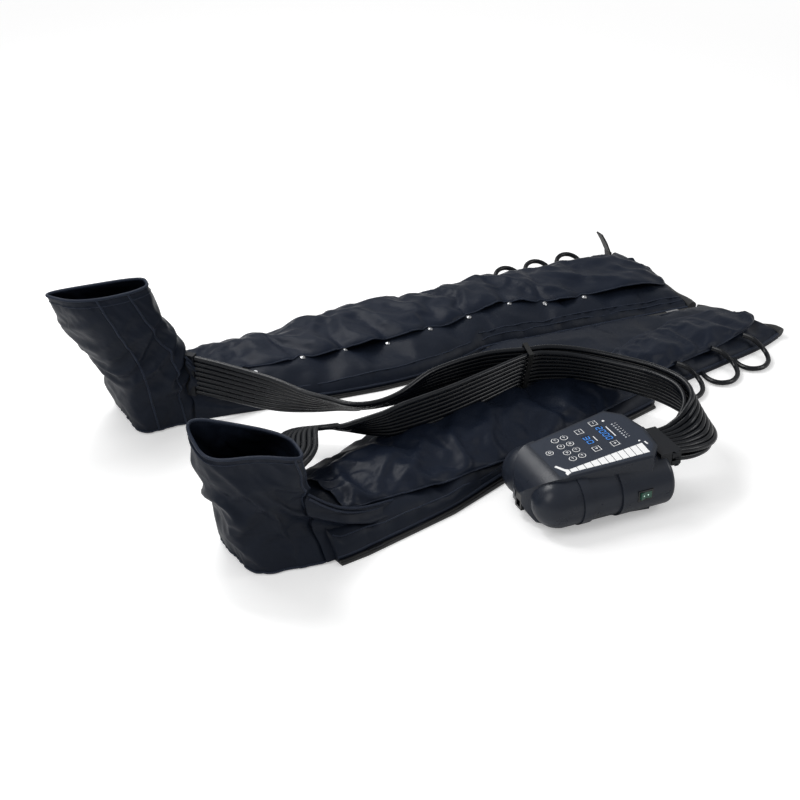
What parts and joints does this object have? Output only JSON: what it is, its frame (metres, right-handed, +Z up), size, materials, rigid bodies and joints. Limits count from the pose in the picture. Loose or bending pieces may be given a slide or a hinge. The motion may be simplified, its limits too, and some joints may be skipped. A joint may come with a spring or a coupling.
{
  "type": "compression therapy pump",
  "caption": "Twin-barrel air pump with a sloping key panel, joined by flat bonded hose ribbons to laid-out compression trousers with open foot sections.",
  "frame": {"origin": "centre, on the floor, of the laid-out pump and trousers", "axes": "+Z up; +X from the feet of the trousers towards their waist and from the pump's nose towards its hoses; +Y away from the pump's switch side"},
  "size_m": [1.3233, 0.8716, 0.28],
  "materials": {
    "casing_grey": "fine satin",
    "overlay_grey": "satin film",
    "display_blue": "lit window",
    "printed_white": "printed",
    "lamp_clear": "lens",
    "key_grey": "satin",
    "gloss_black": "gloss",
    "rocker_green": "lit",
    "plug_black": "moulded",
    "rubber_black": "matt",
    "steel": "nickel",
    "motor_metal": "cast",
    "valve_plastic": "moulded",
    "board_green": "board",
    "switch_tin": "plain",
    "supply_case": "plain",
    "nylon_black": "coated nylon",
    "nylon_flap": "coated nylon",
    "zip_tape": "woven tape",
    "hose_black": "soft tube",
    "webbing_black": "webbing"
  },
  "bodies": {
    "pump_and_trousers": {"casing_lower": "casing_grey", "casing_upper": "casing_grey", "control_overlay": "overlay_grey", "time_display": "display_blue", "pressure_display": "display_blue", "chamber_bar": "printed_white", "indicator_lamps": "lamp_clear", "switch_frame": "gloss_black", "power_inlet": "gloss_black", "hose_socket": "plug_black", "far_hose_plug": "plug_black", "near_hose_plug": "plug_black", "rubber_feet": "rubber_black", "casing_screws": "steel", "air_compressor": "motor_metal", "inner_mounts": "rubber_black", "valve_block": "valve_plastic", "air_tube": "valve_plastic", "circuit_board": "board_green", "key_switches": "switch_tin", "power_supply": "supply_case", "near_leg": "nylon_black", "far_leg": "nylon_black", "near_boot": "nylon_black", "far_boot": "nylon_black", "far_boot_cuff": "nylon_black", "near_flap": "nylon_flap", "far_flap": "nylon_flap", "near_zip": "zip_tape", "far_zip": "zip_tape", "centre_zip": "zip_tape", "snap_studs": "steel", "near_jumper_tubes": "hose_black", "far_jumper_tubes": "hose_black", "waist_binding": "webbing_black", "waist_strap": "webbing_black", "near_hose_port": "hose_black", "far_hose_port": "hose_black", "near_hose": "hose_black", "far_hose": "hose_black", "hose_tie": "webbing_black"},
    "round_key_1": {"round_key_1": "key_grey"},
    "round_key_2": {"round_key_2": "key_grey"},
    "round_key_3": {"round_key_3": "key_grey"},
    "round_key_4": {"round_key_4": "key_grey"},
    "round_key_5": {"round_key_5": "key_grey"},
    "round_key_6": {"round_key_6": "key_grey"},
    "round_key_7": {"round_key_7": "key_grey"},
    "round_key_8": {"round_key_8": "key_grey"},
    "round_key_9": {"round_key_9": "key_grey"},
    "square_key_1": {"square_key_1": "key_grey"},
    "square_key_2": {"square_key_2": "key_grey"},
    "square_key_3": {"square_key_3": "key_grey"},
    "square_key_4": {"square_key_4": "key_grey"},
    "power_rocker": {"power_rocker": "rocker_green"},
    "far_plug_latch": {"far_plug_latch": "plug_black"},
    "near_plug_latch": {"near_plug_latch": "plug_black"},
    "near_zip_slider": {"near_zip_slider": "steel"},
    "far_zip_slider": {"far_zip_slider": "steel"},
    "centre_zip_slider": {"centre_zip_slider": "steel"}
  },
  "joints": [
    {"name": "round_key_1_press", "type": "slide", "parent": "pump_and_trousers", "child": "round_key_1", "axis": [0.0993, 0, -0.9951], "range_m": [0, 0.0005], "stiffness_N_per_m": 600, "springref_m": -0.0006},
    {"name": "round_key_2_press", "type": "slide", "parent": "pump_and_trousers", "child": "round_key_2", "axis": [0.0993, 0, -0.9951], "range_m": [0, 0.0005], "stiffness_N_per_m": 600, "springref_m": -0.0006},
    {"name": "round_key_3_press", "type": "slide", "parent": "pump_and_trousers", "child": "round_key_3", "axis": [0.0993, 0, -0.9951], "range_m": [0, 0.0005], "stiffness_N_per_m": 600, "springref_m": -0.0006},
    {"name": "round_key_4_press", "type": "slide", "parent": "pump_and_trousers", "child": "round_key_4", "axis": [0.0993, 0, -0.9951], "range_m": [0, 0.0005], "stiffness_N_per_m": 600, "springref_m": -0.0006},
    {"name": "round_key_5_press", "type": "slide", "parent": "pump_and_trousers", "child": "round_key_5", "axis": [0.0993, 0, -0.9951], "range_m": [0, 0.0005], "stiffness_N_per_m": 600, "springref_m": -0.0006},
    {"name": "round_key_6_press", "type": "slide", "parent": "pump_and_trousers", "child": "round_key_6", "axis": [0.0993, 0, -0.9951], "range_m": [0, 0.0005], "stiffness_N_per_m": 600, "springref_m": -0.0006},
    {"name": "round_key_7_press", "type": "slide", "parent": "pump_and_trousers", "child": "round_key_7", "axis": [0.0993, 0, -0.9951], "range_m": [0, 0.0005], "stiffness_N_per_m": 600, "springref_m": -0.0006},
    {"name": "round_key_8_press", "type": "slide", "parent": "pump_and_trousers", "child": "round_key_8", "axis": [0.0993, 0, -0.9951], "range_m": [0, 0.0005], "stiffness_N_per_m": 600, "springref_m": -0.0006},
    {"name": "round_key_9_press", "type": "slide", "parent": "pump_and_trousers", "child": "round_key_9", "axis": [0.0993, 0, -0.9951], "range_m": [0, 0.0005], "stiffness_N_per_m": 600, "springref_m": -0.0006},
    {"name": "square_key_1_press", "type": "slide", "parent": "pump_and_trousers", "child": "square_key_1", "axis": [0.0993, 0, -0.9951], "range_m": [0, 0.0005], "stiffness_N_per_m": 600, "springref_m": -0.0006},
    {"name": "square_key_2_press", "type": "slide", "parent": "pump_and_trousers", "child": "square_key_2", "axis": [0.0993, 0, -0.9951], "range_m": [0, 0.0005], "stiffness_N_per_m": 600, "springref_m": -0.0006},
    {"name": "square_key_3_press", "type": "slide", "parent": "pump_and_trousers", "child": "square_key_3", "axis": [0.0993, 0, -0.9951], "range_m": [0, 0.0005], "stiffness_N_per_m": 600, "springref_m": -0.0006},
    {"name": "square_key_4_press", "type": "slide", "parent": "pump_and_trousers", "child": "square_key_4", "axis": [0.0993, 0, -0.9951], "range_m": [0, 0.0005], "stiffness_N_per_m": 600, "springref_m": -0.0006},
    {"name": "power_rocker_tilt", "type": "hinge", "parent": "pump_and_trousers", "child": "power_rocker", "pos_m": [0.0965, -0.4261, 0.047], "axis": [0, 0, 1], "range_deg": [-14, 0]},
    {"name": "far_plug_latch_squeeze", "type": "hinge", "parent": "pump_and_trousers", "child": "far_plug_latch", "pos_m": [0.1675, -0.3988, 0.084], "axis": [0, 0, 1], "range_deg": [0, 8], "stiffness_Nm_per_rad": 0.02, "springref_deg": -5.73},
    {"name": "near_plug_latch_squeeze", "type": "hinge", "parent": "pump_and_trousers", "child": "near_plug_latch", "pos_m": [0.1675, -0.3988, 0.071], "axis": [0, 0, 1], "range_deg": [0, 8], "stiffness_Nm_per_rad": 0.02, "springref_deg": -5.73},
    {"name": "near_zip_run", "type": "slide", "parent": "pump_and_trousers", "child": "near_zip_slider", "axis": [0.9628, 0.2702, 0], "range_m": [0, 0.135]},
    {"name": "far_zip_run", "type": "slide", "parent": "pump_and_trousers", "child": "far_zip_slider", "axis": [0.992, -0.1266, 0], "range_m": [0, 0.15]},
    {"name": "centre_zip_run", "type": "slide", "parent": "pump_and_trousers", "child": "centre_zip_slider", "axis": [-0.9996, 0.0297, 0], "range_m": [0, 0.3]}
  ]
}
